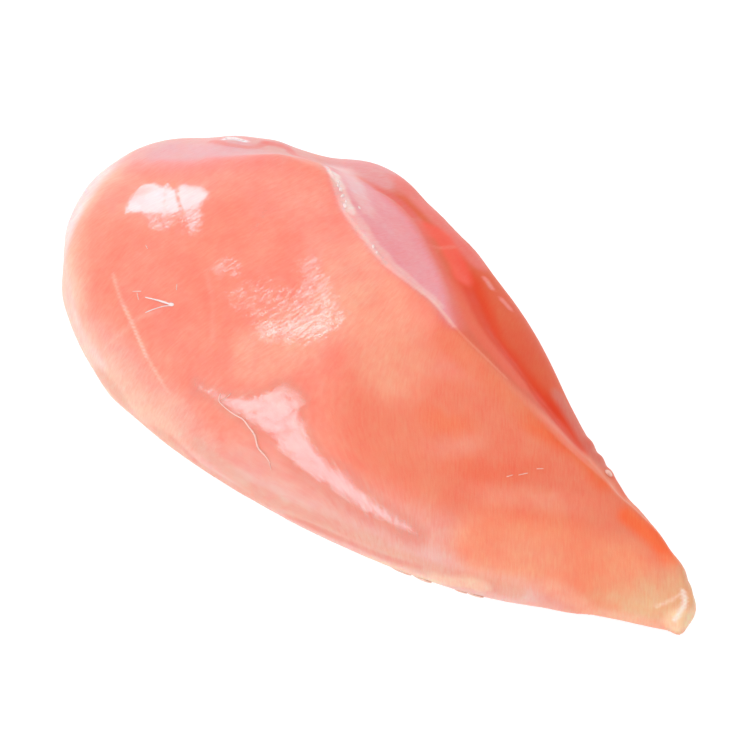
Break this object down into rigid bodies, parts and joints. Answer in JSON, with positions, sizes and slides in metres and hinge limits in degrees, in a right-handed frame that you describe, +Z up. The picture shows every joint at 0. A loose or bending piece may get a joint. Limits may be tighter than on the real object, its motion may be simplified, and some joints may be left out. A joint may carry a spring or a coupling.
{
  "type": "raw chicken breast",
  "caption": "Raw boneless, skinless chicken breast fillet: a plump rounded end, a smooth top, a cut flank below a ridge and a thin blunt tip. Lies flat on its underside.",
  "frame": {"origin": "on the flat underside, below the middle of the bounding box", "axes": "+X along the fillet towards the thin tip, +Y across it towards the cut flank, +Z up from the underside"},
  "size_m": [0.192, 0.097, 0.0374],
  "materials": {
    "raw_meat": "wet gloss"
  },
  "bodies": {
    "root": {"chicken_breast": "raw_meat"}
  },
  "joints": []
}
